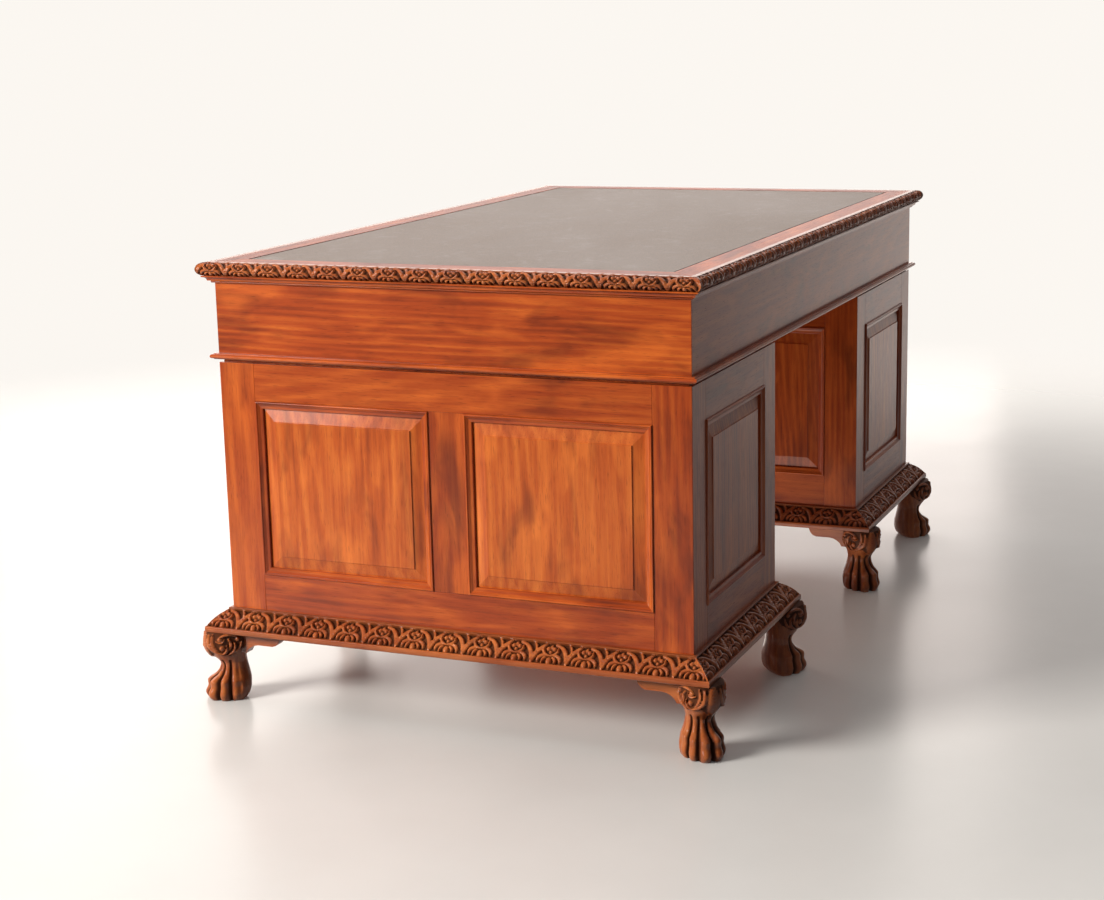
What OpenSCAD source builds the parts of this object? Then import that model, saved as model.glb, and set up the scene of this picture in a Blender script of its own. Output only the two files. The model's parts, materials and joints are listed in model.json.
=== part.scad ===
// Pedestal writing desk. A frieze case with three drawers stands on two pedestals with three
// drawers each. It has a leather inset, carved edge and base mouldings, and paw feet.
// The frame has +X to the sitter's right, +Y away from the sitter and +Z up, with the
// origin on the floor under the middle of the desk. The drawers open towards -Y.

/* [Overall] */
// Length over the carved edge
top_l = 1524; // [1400:1:1900]
// Depth over the carved edge
top_w = 908; // [800:1:1100]
// Height to the wooden border of the top
desk_h = 780; // [740:1:940]
// Width of one pedestal's case
pedestal_w = 450; // [370:1:560]

/* [Top] */
// Thickness of the top board and of its carved edge
top_t = 23; // [18:1:30]
// How far the carved edge stands out past the frieze
edge_out = 24; // [18:1:36]
// Wooden border round the leather, from the carved edge's tip
border_w = 66; // [45:1:150]
// Depth of the recess that the leather lies in
recess_d = 1.6; // [1.4:0.1:4]
// Thickness of the leather
leather_t = 1.2; // [0.8:0.1:1.4]
// Gap between the leather and the recess's wall
leather_gap = 0.5; // [0.3:0.1:1]
// Height of the cove moulding under the top
cove_h = 13; // [10:1:18]
// How far the cove moulding stands out past the frieze
cove_out = 17; // [15:1:17]
// Thickness of the cove moulding's top lip
cove_lip = 2.5; // [1.5:0.5:4]

/* [Frieze case] */
// Height of the frieze case, up to the underside of the top
case_h = 145; // [120:1:190]
// Thickness of the case's boards and of the pedestals' frames
frame_t = 22; // [18:0.1:28]
// Height of the front rail under the frieze drawers
case_rail_h = 16; // [14:1:24]
// Thickness of the dust board under the frieze drawers
dust_t = 10; // [6:1:12]
// Width and height of the glue blocks behind the drawers
block_w = 40; // [25:1:50]
// Height of the bead moulding round the foot of the frieze
mid_h = 10; // [8:1:14]
// How far that bead stands out past the frieze
mid_out = 11.8; // [9:0.1:16]
// Shadow gap between the frieze case and the pedestals
seat_gap = 6; // [3:1:10]

/* [Pedestals] */
// Width of the frames' corner stiles
stile_w = 67; // [50:1:80]
// Width of the upright between two panels
muntin_w = 65; // [45:1:80]
// Width of the frames' top rails
top_rail_w = 65; // [45:1:80]
// Width of the bottom rails above the base moulding
bottom_rail_w = 64; // [45:1:80]
// Thickness of the pedestals' top and bottom boards
board_t = 18; // [15:1:22]
// How far the top boards' lips over the frames stand back from the frames' faces
seat_in = 6; // [3:0.5:15]
// Height of the rail at the head of the pedestal's front
front_rail_h = 18; // [15:1:24]
// Part of the bottom front rail that shows above the base moulding
front_foot_h = 6; // [4:1:20]
// Thickness of the rails between two drawers
blade_t = 16; // [14:1:20]
// Depth of those rails, front to back
blade_d = 50; // [40:1:80]
// Width of a drawer runner
runner_w = 25; // [18:1:35]

/* [Panels] */
// Width of the moulding planted round a panel
bolection_w = 14; // [10:1:20]
// How far that moulding stands out past the frame
bolection_out = 3; // [2:0.5:6]
// How far that moulding's bead stands out past the rest of it
bolection_step = 1; // [0.5:0.5:2]
// Depth of the panel's margin behind the frame's face
panel_margin_d = 6; // [4:0.5:8]
// Width of the slope round the raised field
bevel_w = 21.5; // [12:0.5:30]
// Step at the edge of the raised field
field_step = 1.5; // [0.5:0.5:3]
// Depth of the panel's back behind the frame's face
panel_back_d = 16; // [12:1:18]

/* [Base and feet] */
// Height of the paw feet
foot_h = 127; // [105:0.1:155]
// Height of the carved base moulding
base_h = 40; // [34:1:50]
// How far the base moulding's lip stands out past the case
base_out = 38; // [30:1:40]
// Height of the plain lip at the foot of the base moulding
base_lip_h = 10; // [8:1:14]
// How far the thin bead at the head of the base moulding stands out
base_bead_out = 6; // [4:1:10]
// Height of that thin bead
base_bead_h = 2; // [1:0.5:4]
// Distance of a foot's middle from the pedestal's corner, inwards along the desk
foot_in_x = 4; // [0:1:8]
// Distance of a foot's middle from the pedestal's corner, outwards across the desk
foot_out_y = 8; // [0:1:10]
// Radius of a foot's sole
sole_r = 36; // [32:1:36]
// Widest radius of a foot's knee and paw
paw_r = 39; // [37:1:42]
// Radius of a foot's ankle
ankle_r = 24; // [21:1:28]
// Height of the widest part of a foot's paw
paw_z = 14; // [10:1:18]
// Distance of the widest part of a foot's knee below its head
knee_down = 22; // [16:1:28]
// Height of the straight part of a foot's ankle
ankle_h = 26; // [16:1:32]
// Radius of the ball of a foot's toes
toe_r = 25; // [20:1:28]
// How far that ball stands out, along the corner's diagonal
toe_reach = 26; // [20:1:30]
// Height of the middle of that ball
toe_z = 17; // [12:1:22]
// Radius of the ball of a foot's knee
knee_r = 27; // [24:1:30]
// How far that ball stands out, along the corner's diagonal
knee_reach = 26; // [20:1:28]
// How far the foot's outline draws in at each of its bends
foot_ease = 3; // [1:0.5:5]
// Length of a foot's bracket, from the pedestal's corner
bracket_l = 97; // [80:1:130]
// Height of a foot's bracket
bracket_h = 26; // [20:1:34]
// Height left at a bracket's tip
bracket_tip = 6; // [4:1:10]
// How far a bracket stands out past the pedestal
bracket_out = 10; // [6:1:14]
// Thickness of a foot's bracket
bracket_t = 22; // [18:1:26]
// Hold of the block behind a foot on the pedestal's bottom board
corner_hold = 20; // [12:1:30]

/* [Drawers] */
// Gap round a drawer front
drawer_gap = 1; // [0.6:0.1:2]
// Gap between a drawer's sides and the case
side_gap = 1.5; // [1:0.1:2.5]
// Gap between a drawer and the runners it slides on
runner_gap = 0.5; // [0.3:0.1:1]
// Thickness of a drawer front
front_t = 20; // [16:1:22]
// Thickness of a drawer's sides and back
side_t = 10; // [8:1:14]
// Thickness of a drawer's bottom
bottom_t = 6; // [4:1:8]
// Height of a drawer's bottom above its sides' lower edge
bottom_up = 7; // [5:1:10]
// Room over a drawer's sides
head_room = 10; // [6:1:16]
// Length of a drawer box behind its front
drawer_l = 560; // [400:1:600]
// Width of the cock bead round a drawer front
bead_w = 3; // [2:0.5:5]
// How far the cock bead stands out
bead_out = 2; // [1:0.5:3]

/* [Joints] */
// Glue line between two pieces that are joined
glue = 0.1; // [0.05:0.05:0.2]

/* [Handles and locks] */
// Distance between a handle's two posts
post_span = 64; // [52:0.1:90]
// Height of the bail's pivot line in its drawer front, as a share of the front's height
post_rise = 0.5; // [0.45:0.01:0.55]
// Distance of the pivot line from the drawer front's face
pivot_out = 14; // [12:0.5:17]
// Radius of a post's head
head_r = 4.5; // [4:0.1:5]
// Radius of the bail's pivot pins
pin_r = 1.5; // [1.2:0.1:2]
// Running clearance round a pivot pin
pin_clear = 0.05; // [0.02:0.01:0.1]
// Radius of the bail's rod
rod_r = 3; // [2:0.1:3.4]
// Gap between the bail's arms and the posts' heads
arm_gap = 0.5; // [0.3:0.1:1]
// Radius of the bail's bends
bend_r = 12; // [8:1:14]
// Drop of the bail's grip below its pivot line
bail_drop = 26; // [20:1:28]
// Distance of a pin's end inside the far face of its post's head
pin_in = 1; // [0.5:0.5:2]
// Radius of the backplate's round middle
plate_r = 17; // [14:1:20]
// Radius of the backplate's wing at each post
wing_r = 12; // [9:1:14]
// Radius of the small lobe at each wing's end
lobe_r = 5; // [3:0.5:7]
// Radius of the points over and under the backplate's middle
point_r = 6; // [4:0.5:8]
// Width of the backplate between its middle and its wings
waist_w = 14; // [10:1:18]
// Thickness of the handle's backplate
plate_t = 1.5; // [1:0.5:2.5]
// Radius of a post's threaded shank
shank_r = 2.5; // [2:0.1:3]
// Clearance round a shank in its hole
shank_clear = 0.1; // [0.05:0.05:0.3]
// How far a shank reaches past its drawer front
shank_past = 4; // [3:0.5:6]
// Thickness of a shank's nut
nut_t = 3; // [2:0.5:4]
// Radius of a post's neck
neck_r = 3.2; // [2.8:0.1:4]
// Radius of the collar at a post's foot
collar_r = 6; // [5:0.5:8]
// Thickness of that collar
collar_t = 2; // [1:0.5:3]
// Thickness of the keyhole plate
key_plate_t = 1.2; // [0.8:0.1:2]
// Radius of the keyhole plate's middle
key_plate_r = 8; // [6:0.5:10]
// Radius of the keyhole plate's lower lobe
key_foot_r = 5; // [3:0.5:6]
// Radius of the keyhole plate's upper lobe
key_head_r = 3; // [2:0.5:4]
// Radius of the keyhole's round part
key_r = 2; // [1.5:0.1:3]
// Width of the keyhole's slot
key_slot_w = 1.6; // [1:0.1:2.5]
// Length of the keyhole's slot, from the middle of its round part
key_slot_l = 6; // [4:0.5:7]
// Distance of the keyhole below the head of its drawer's opening
key_down = 18; // [16:1:26]
// Least gap between the keyhole plate and the handle's backplate
key_gap = 2; // [0.5:0.5:6]
// Width of the lock's box
lock_w = 44; // [36:1:60]
// Thickness of the lock's box
lock_t = 8; // [6:0.5:12]
// Height of the lock's box
lock_h = 30; // [24:1:30]

/* [Hidden] */
$fn = 48;
bead_fn = 32;

// How far a cutting shape runs past what it cuts
past = 1;

// Outlines of the cases, from the middle of the desk
case_x = top_l / 2 - edge_out;
case_y = top_w / 2 - edge_out;
knee_x = case_x - pedestal_w;
inner_x0 = knee_x + frame_t;
inner_x1 = case_x - frame_t;
inner_y = case_y - frame_t;

// Levels, from the floor up
case_top = desk_h - top_t;
case_z = case_top - case_h;
pedestal_top = case_z - seat_gap;
panel_z0 = foot_h + base_h + bottom_rail_w;
panel_z1 = pedestal_top - top_rail_w;

// Sizes of the frames' openings for the panels
panel_h = panel_z1 - panel_z0;
side_panel_w = case_y - stile_w - muntin_w / 2;
back_panel_w = pedestal_w - 2 * stile_w;

// Drawer openings, each [name, x0, x1, z0, z1]
front_z0 = foot_h + base_h + front_foot_h;
front_z1 = pedestal_top - front_rail_h;
drawer_stack = front_z1 - front_z0 - 2 * blade_t;
levels = ["lower", "middle", "upper"];
level_shares = [0.37, 0.33, 0.3];
function opening_z(i) =
    i == 0 ? front_z0 : opening_z(i - 1) + level_shares[i - 1] * drawer_stack + blade_t;
function opening_top(i) = opening_z(i) + level_shares[i] * drawer_stack;
case_open_z0 = case_z + case_rail_h;
case_open_z1 = case_top - case_rail_h;
DRAWERS = concat(
    [["centre_top_drawer", -knee_x, knee_x, case_open_z0, case_open_z1]],
    [for (side = [["left", -1], ["right", 1]])
        [str(side[0], "_top_drawer"), min(side[1] * inner_x0, side[1] * inner_x1),
            max(side[1] * inner_x0, side[1] * inner_x1), case_open_z0, case_open_z1]],
    [for (side = [["left", -1], ["right", 1]]) for (i = [0, 1, 2])
        [str(side[0], "_", levels[i], "_drawer"), min(side[1] * inner_x0, side[1] * inner_x1),
            max(side[1] * inner_x0, side[1] * inner_x1), opening_z(i), opening_top(i)]]);
function middle_x(d) = (d[1] + d[2]) / 2;

// A handle hangs at its share of the front's height, or lower where the keyhole plate needs it.
key_stack = key_down + key_plate_r + key_foot_r + key_gap + plate_r + point_r;
function pivot_z(d) = min(d[3] + post_rise * (d[4] - d[3]), d[4] - key_stack);

// Stand of the bail's arms and of its pivot line
arm_x = post_span / 2 + head_r + arm_gap + rod_r;
pivot_y = -case_y - pivot_out;

// Colours
mahogany = "#8f4420";
dark_mahogany = "#6e3017";
drawer_wood = "#c49a66";
hide = "#4b4644";
metal = "#b8924a";

// A board between two opposite corners.
module board(low, high) translate(low) cube(high - low);

// Both pedestals are one design: this one lies at +X, and the left one mirrors it.
module at_side(side) mirror([side == "left" ? 1 : 0, 0, 0]) children();

// One mitred length of moulding along X. Its section has x outwards and y up.
module mitred_length(l, out, in, high)
    intersection() {
        rotate([90, 0, 90]) linear_extrude(l + 2 * out, center = true) children();
        translate([0, 0, -high]) linear_extrude(2 * high)
            polygon([[-l / 2 - out + glue, out], [l / 2 + out - glue, out],
                [l / 2 - in - glue, -in], [-l / 2 + in + glue, -in]]);
    }

// Four mitred lengths round an l by w rectangle.
module mitred_ring(l, w, out, in, high)
    for (turn = [0, 180]) {
        rotate(turn) translate([0, w / 2, 0]) mitred_length(l, out, in, high) children();
        rotate(turn + 90) translate([0, l / 2, 0]) mitred_length(w, out, in, high) children();
    }

// Puts flat work on an upright face: 0 faces -Y, 90 faces +X, 180 faces +Y, 270 faces -X.
module on_face(at, turn) translate(at) rotate([90, 0, turn]) children();

// ---- Top ----

module top_board()
    color(mahogany) difference() {
        board([-case_x, -case_y, case_top], [case_x, case_y, desk_h]);
        board([-top_l / 2 + border_w, -top_w / 2 + border_w, desk_h - recess_d],
            [top_l / 2 - border_w, top_w / 2 - border_w, desk_h + past]);
    }

module leather_inset() {
    lx = top_l / 2 - border_w - leather_gap;
    ly = top_w / 2 - border_w - leather_gap;
    color(hide) board([-lx, -ly, desk_h - recess_d], [lx, ly, desk_h - recess_d + leather_t]);
}

module edge_moulding()
    color(mahogany) translate([0, 0, case_top])
        mitred_ring(2 * case_x, 2 * case_y, edge_out + past, 0, top_t + past) {
            square([edge_out - top_t / 2, top_t]);
            translate([edge_out - top_t / 2, top_t / 2]) circle(r = top_t / 2);
        }

module cove_moulding()
    color(mahogany) translate([0, 0, case_top - cove_h])
        mitred_ring(2 * case_x, 2 * case_y, cove_out + past, 0, cove_h + past)
            difference() {
                square([cove_out, cove_h]);
                translate([cove_out, 0]) circle(r = cove_h - cove_lip);
            }

// ---- Frieze case ----

module frieze_case()
    color(mahogany) translate([0, 0, case_z]) linear_extrude(case_h) {
        polygon([[glue - case_x, case_y], [case_x - glue, case_y], [inner_x1 - glue, inner_y],
            [glue - inner_x1, inner_y]]);
        for (s = [-1, 1])
            polygon([[s * case_x, -case_y], [s * case_x, case_y], [s * inner_x1, inner_y],
                [s * inner_x1, -case_y]]);
    }

module frieze_dividers()
    color(mahogany) for (s = [0, 1]) mirror([s, 0, 0]) {
        board([knee_x, -inner_y, case_z + dust_t], [inner_x0, inner_y, case_top]);
        board([knee_x, -case_y, case_open_z0], [inner_x0, -inner_y, case_open_z1]);
    }

module frieze_front_rails()
    color(mahogany) {
        board([-inner_x1, -case_y, case_z], [inner_x1, -inner_y, case_open_z0]);
        board([-inner_x1, -case_y, case_open_z1], [inner_x1, -inner_y, case_top]);
    }

// Dust board, with a runner under and a kicker over each side of each drawer.
module frieze_floor()
    color(drawer_wood) {
        board([-inner_x1, -inner_y, case_z], [inner_x1, inner_y, case_z + dust_t]);
        for (edge = [-inner_x1, -inner_x0 - runner_w, -knee_x, knee_x - runner_w, inner_x0,
            inner_x1 - runner_w]) {
            board([edge, -inner_y, case_z + dust_t + glue],
                [edge + runner_w, inner_y, case_open_z0]);
            board([edge, -inner_y, case_open_z1],
                [edge + runner_w, inner_y - block_w, case_top]);
        }
    }

// Blocks glued in the corners behind the drawers, which hold the top to the case.
module glue_blocks()
    color(drawer_wood) for (x = [-inner_x1, -knee_x, knee_x - block_w, inner_x1 - block_w])
        board([x, inner_y - block_w, case_top - block_w], [x + block_w, inner_y, case_top]);

module mid_moulding()
    color(dark_mahogany) translate([0, 0, case_z])
        mitred_ring(2 * case_x, 2 * case_y, mid_out + past, 0, mid_h + past) {
            square([mid_out - mid_h / 2, mid_h]);
            translate([mid_out - mid_h / 2, mid_h / 2]) circle(r = mid_h / 2);
        }

// ---- Pedestals ----

// Stiles, rails and muntin of a side frame whose outer face is at x = face.
module side_frame(face, back) {
    board([min(face, back), -case_y, foot_h], [max(face, back), -case_y + stile_w, pedestal_top]);
    translate([0, 0, foot_h]) linear_extrude(pedestal_top - foot_h)
        polygon([[face, case_y - stile_w], [face, case_y], [back, inner_y],
            [back, case_y - stile_w]]);
    for (level = [[foot_h, panel_z0], [panel_z1, pedestal_top]])
        board([min(face, back), -case_y + stile_w + glue, level[0]],
            [max(face, back), case_y - stile_w - glue, level[1]]);
    board([min(face, back), -muntin_w / 2, panel_z0 + glue],
        [max(face, back), muntin_w / 2, panel_z1 - glue]);
}

module frames(side)
    color(mahogany) at_side(side) {
        side_frame(case_x, inner_x1);
        side_frame(knee_x, inner_x0);
        translate([0, 0, foot_h]) linear_extrude(pedestal_top - foot_h) {
            polygon([[knee_x + glue, case_y], [knee_x + stile_w, case_y],
                [knee_x + stile_w, inner_y], [inner_x0 + glue, inner_y]]);
            polygon([[case_x - glue, case_y], [case_x - stile_w, case_y],
                [case_x - stile_w, inner_y], [inner_x1 - glue, inner_y]]);
        }
        for (level = [[foot_h, panel_z0], [panel_z1, pedestal_top]])
            board([knee_x + stile_w + glue, inner_y, level[0]],
                [case_x - stile_w - glue, case_y, level[1]]);
    }

// Places its child on each of the five panel openings of a pedestal.
module at_panels(side)
    at_side(side) {
        z = (panel_z0 + panel_z1) / 2;
        y = muntin_w / 2 + side_panel_w / 2;
        for (s = [-1, 1]) {
            on_face([case_x, s * y, z], 90) children(0);
            on_face([knee_x, s * y, z], 270) children(0);
        }
        on_face([(knee_x + case_x) / 2, case_y, z], 180) children(1);
    }

// Section across a raised and fielded panel, with the frame's face at y = 0.
module panel_section(w) {
    margin = w / 2 - bolection_w;
    field = margin - bevel_w;
    polygon([[-w / 2, -panel_back_d], [w / 2, -panel_back_d], [w / 2, -panel_margin_d],
        [margin, -panel_margin_d], [field, -field_step], [field, 0], [-field, 0],
        [-field, -field_step], [-margin, -panel_margin_d], [-w / 2, -panel_margin_d]]);
}

module raised_panel(w, h)
    intersection() {
        rotate([90, 0, 90]) linear_extrude(w, center = true) panel_section(h);
        rotate([90, 0, 0]) linear_extrude(h, center = true) panel_section(w);
    }

module panels(side)
    color(mahogany) at_panels(side) {
        raised_panel(side_panel_w, panel_h);
        raised_panel(back_panel_w, panel_h);
    }

// Section of the planted moulding: a bead towards the frame that falls to the panel.
module bolection_section() {
    bead_r = bolection_w / 4;
    translate([-bolection_w, -panel_margin_d]) square([bolection_w, panel_margin_d]);
    translate([-bolection_w, 0]) square([bolection_w, bolection_out - bolection_step]);
    translate([-bead_r, bolection_out - bead_r]) circle(r = bead_r, $fn = bead_fn);
}

module bolection(w, h)
    mitred_ring(w, h, 0, bolection_w, panel_margin_d + bolection_out) bolection_section();

module panel_mouldings(side)
    color(dark_mahogany) at_panels(side) {
        bolection(side_panel_w, panel_h);
        bolection(back_panel_w, panel_h);
    }

module boards(side)
    color(drawer_wood) at_side(side) {
        board([inner_x0, -inner_y, foot_h], [inner_x1, inner_y, foot_h + board_t]);
        board([inner_x0, -inner_y, case_z - board_t], [inner_x1, inner_y, case_z]);
        board([knee_x + seat_in, seat_in - case_y, pedestal_top + glue],
            [case_x - seat_in, case_y - seat_in, case_z]);
    }

// Front rails, the blades between the drawers, and a runner at each side of each drawer.
module drawer_rails(side)
    color(mahogany) at_side(side) {
        board([inner_x0, -case_y, foot_h], [inner_x1, -inner_y, front_z0]);
        board([inner_x0, -case_y, front_z1], [inner_x1, -inner_y, pedestal_top]);
        for (i = [1, 2])
            board([inner_x0, -case_y, opening_z(i) - blade_t],
                [inner_x1, -case_y + blade_d, opening_z(i)]);
        for (x = [inner_x0, inner_x1 - runner_w]) {
            board([x, -inner_y + glue, foot_h + board_t], [x + runner_w, inner_y, front_z0]);
            for (i = [1, 2])
                board([x, -case_y + blade_d + glue, opening_z(i) - blade_t],
                    [x + runner_w, inner_y, opening_z(i)]);
        }
    }

// Section of the base moulding: a plain lip, the slope that is carved, and a thin bead.
module base_section()
    polygon([[0, 0], [base_out, 0], [base_out, base_lip_h], [base_bead_out, base_h - base_bead_h],
        [base_bead_out, base_h], [0, base_h]]);

module base_moulding(side)
    color(dark_mahogany) at_side(side) translate([(knee_x + case_x) / 2, 0, foot_h])
        mitred_ring(pedestal_w, 2 * case_y, base_out + past, 0, base_h + past) base_section();

// A ball that stands out of a foot along the corner's diagonal, kept between floor and top.
module foot_ball(r, reach, z)
    rotate(45) translate([reach, 0, 0]) intersection() {
        translate([0, 0, z]) sphere(r = r);
        cylinder(r = r + past, h = foot_h);
    }

// One foot, with its corner at the origin and its brackets along -X and -Y. The block behind
// its knee holds it to the pedestal's bottom board.
module foot() {
    ankle_z = foot_h / 2;
    block_in = frame_t + corner_hold;
    block_out = bracket_t - bracket_out + glue;
    board([-block_in, -block_in, foot_h - bracket_h], [-block_out, -block_out, foot_h]);
    translate([-foot_in_x, foot_out_y, 0]) {
        rotate_extrude()
            polygon([[0, 0], [sole_r, 0], [paw_r, paw_z], [paw_r - foot_ease, 2 * paw_z],
                [ankle_r + foot_ease, ankle_z - ankle_h / 2], [ankle_r, ankle_z],
                [ankle_r + foot_ease, ankle_z + ankle_h / 2], [paw_r, foot_h - knee_down],
                [paw_r - foot_ease, foot_h], [0, foot_h]]);
        foot_ball(toe_r, toe_reach, toe_z);
        foot_ball(knee_r, knee_reach, foot_h - knee_down);
    }
    for (turn = [0, 90])
        rotate(turn) mirror([0, turn / 90, 0]) bracket();
}

// A plain bracket along -X, from the knee to its tip, whose lower edge sweeps up.
module bracket() {
    sweep_r = bracket_h - bracket_tip;
    knee_end = paw_r + foot_in_x + glue;
    translate([0, bracket_out, foot_h - bracket_h]) rotate([90, 0, 0]) linear_extrude(bracket_t)
        difference() {
            translate([-bracket_l, 0]) square([bracket_l - knee_end, bracket_h]);
            translate([-bracket_l, 0]) circle(r = sweep_r);
        }
}

module feet(side)
    color(mahogany) at_side(side)
        for (sx = [0, 1]) for (sy = [0, 1])
            translate([sx == 0 ? case_x : knee_x, (1 - 2 * sy) * case_y, 0])
                mirror([sx, 0, 0]) mirror([0, sy, 0]) foot();

// ---- Drawers ----

module drawer_front(d) {
    low = [d[1] + drawer_gap, -case_y, d[3] + drawer_gap];
    high = [d[2] - drawer_gap, -case_y + front_t, d[4] - drawer_gap];
    bead = [bead_w, 0, bead_w];
    color(mahogany) difference() {
        board(low - [0, bead_out, 0], high);
        board(low + bead - [0, bead_out + past, 0], [high[0], low[1], high[2]] - bead);
        for (s = [-1, 1])
            translate([middle_x(d) + s * post_span / 2, -case_y - past, pivot_z(d)])
                rotate([-90, 0, 0]) cylinder(r = shank_r + shank_clear, h = front_t + 2 * past);
    }
}

module drawer_box(d) {
    x0 = d[1] + side_gap;
    x1 = d[2] - side_gap;
    y0 = -case_y + front_t;
    z0 = d[3] + runner_gap;
    z1 = d[4] - head_room;
    floor_z = z0 + bottom_up;
    color(drawer_wood) {
        board([x0, y0, z0], [x0 + side_t, y0 + drawer_l, z1]);
        board([x1 - side_t, y0, z0], [x1, y0 + drawer_l, z1]);
        board([x0 + side_t + glue, y0, floor_z],
            [x1 - side_t - glue, y0 + drawer_l, floor_z + bottom_t]);
        board([x0 + side_t + glue, y0 + drawer_l - side_t, floor_z + bottom_t + glue],
            [x1 - side_t - glue, y0 + drawer_l, z1]);
    }
}

// Outline of the handle's plate: a round middle, a wing at each post and a point above and below.
module plate_outline() {
    circle(r = plate_r);
    for (s = [-1, 1]) {
        translate([s * post_span / 2, 0]) circle(r = wing_r);
        translate([s * (post_span / 2 + wing_r), 0]) circle(r = lobe_r);
        translate([0, s * plate_r]) circle(r = point_r);
    }
    square([post_span, waist_w], center = true);
}

// A turned post whose head carries the bail's pin, with its shank and nut behind the front.
module post()
    difference() {
        union() {
            translate([0, 0, plate_t + glue]) cylinder(r = collar_r, h = collar_t);
            cylinder(r = neck_r, h = pivot_out);
            translate([0, 0, pivot_out - head_r]) cylinder(r = head_r, h = 2 * head_r);
            translate([0, 0, -front_t - shank_past])
                cylinder(r = shank_r, h = front_t + shank_past + plate_t);
            translate([0, 0, -front_t - nut_t]) cylinder(r = 2 * shank_r, h = nut_t, $fn = 6);
        }
        translate([-head_r - past, 0, pivot_out]) rotate([0, 90, 0])
            cylinder(r = pin_r + pin_clear, h = 2 * head_r + 2 * past);
    }

module keyhole_outline()
    difference() {
        union() {
            circle(r = key_plate_r);
            translate([0, -key_plate_r]) circle(r = key_foot_r);
            translate([0, key_plate_r]) circle(r = key_head_r);
        }
        circle(r = key_r);
        translate([-key_slot_w / 2, -key_slot_l]) square([key_slot_w, key_slot_l]);
    }

module drawer_fittings(d)
    color(metal) translate([middle_x(d), -case_y, 0]) {
        translate([0, 0, pivot_z(d)]) rotate([90, 0, 0]) {
            linear_extrude(plate_t) difference() {
                plate_outline();
                for (s = [-1, 1]) translate([s * post_span / 2, 0]) circle(r = neck_r + glue);
            }
            for (s = [-1, 1]) translate([s * post_span / 2, 0, 0]) post();
        }
        translate([0, 0, d[4] - key_down]) rotate([90, 0, 0])
            linear_extrude(key_plate_t) keyhole_outline();
        board([-lock_w / 2, front_t, d[4] - key_down - lock_h / 2],
            [lock_w / 2, front_t + lock_t, d[4] - key_down + lock_h / 2]);
    }

// The bail hangs from its two pins: straight arms, a bend at each and a level grip.
module drawer_bail(d)
    color(metal) translate([middle_x(d), pivot_y, pivot_z(d)]) for (s = [0, 1]) mirror([s, 0, 0]) {
        pin_l = arm_x - post_span / 2 + head_r - pin_in;
        translate([arm_x - pin_l, 0, 0]) rotate([0, 90, 0]) cylinder(r = pin_r, h = pin_l);
        translate([arm_x, 0, 0]) sphere(r = rod_r);
        translate([arm_x, 0, bend_r - bail_drop]) cylinder(r = rod_r, h = bail_drop - bend_r);
        translate([arm_x - bend_r, 0, bend_r - bail_drop]) rotate([90, 0, 0])
            rotate([0, 0, -90]) rotate_extrude(angle = 90)
                translate([bend_r, 0]) circle(r = rod_r);
        translate([0, 0, -bail_drop]) rotate([0, 90, 0]) cylinder(r = rod_r, h = arm_x - bend_r);
    }

top_board();
leather_inset();
edge_moulding();
cove_moulding();
frieze_case();
frieze_dividers();
frieze_front_rails();
frieze_floor();
glue_blocks();
mid_moulding();
for (side = ["left", "right"]) {
    frames(side);
    panels(side);
    panel_mouldings(side);
    boards(side);
    drawer_rails(side);
    base_moulding(side);
    feet(side);
}
for (d = DRAWERS) {
    drawer_front(d);
    drawer_box(d);
    drawer_fittings(d);
    drawer_bail(d);
}
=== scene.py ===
"""A pedestal writing desk with a leather inset, carved mouldings and paw feet, in a studio."""

import bpy
import json
import math
import numpy as np
from mathutils import Matrix, Vector

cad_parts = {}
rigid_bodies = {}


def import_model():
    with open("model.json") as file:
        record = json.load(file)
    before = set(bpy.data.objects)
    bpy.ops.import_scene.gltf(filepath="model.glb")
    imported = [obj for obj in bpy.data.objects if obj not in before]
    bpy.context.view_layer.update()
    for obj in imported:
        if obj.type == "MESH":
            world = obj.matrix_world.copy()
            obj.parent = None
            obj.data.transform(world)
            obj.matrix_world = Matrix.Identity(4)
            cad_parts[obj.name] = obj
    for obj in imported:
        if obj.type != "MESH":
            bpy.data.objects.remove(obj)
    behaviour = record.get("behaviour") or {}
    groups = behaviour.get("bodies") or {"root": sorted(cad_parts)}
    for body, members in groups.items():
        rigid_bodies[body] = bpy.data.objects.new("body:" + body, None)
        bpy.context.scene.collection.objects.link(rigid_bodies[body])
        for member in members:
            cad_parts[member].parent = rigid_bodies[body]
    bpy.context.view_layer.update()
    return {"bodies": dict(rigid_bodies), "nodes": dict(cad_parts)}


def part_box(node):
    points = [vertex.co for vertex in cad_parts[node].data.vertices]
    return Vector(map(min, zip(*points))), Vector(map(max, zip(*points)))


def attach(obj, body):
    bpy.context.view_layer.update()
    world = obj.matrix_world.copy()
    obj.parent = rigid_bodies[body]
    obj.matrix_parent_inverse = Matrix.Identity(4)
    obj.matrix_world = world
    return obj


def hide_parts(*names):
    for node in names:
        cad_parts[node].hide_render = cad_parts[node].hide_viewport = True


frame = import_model()
MM = 0.001


# ---- Camera ----
# The camera stands off the desk's right end, a little towards the visitor's side, and looks
# slightly down on the top. It is a long lens with no shift and everything in focus.

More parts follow.
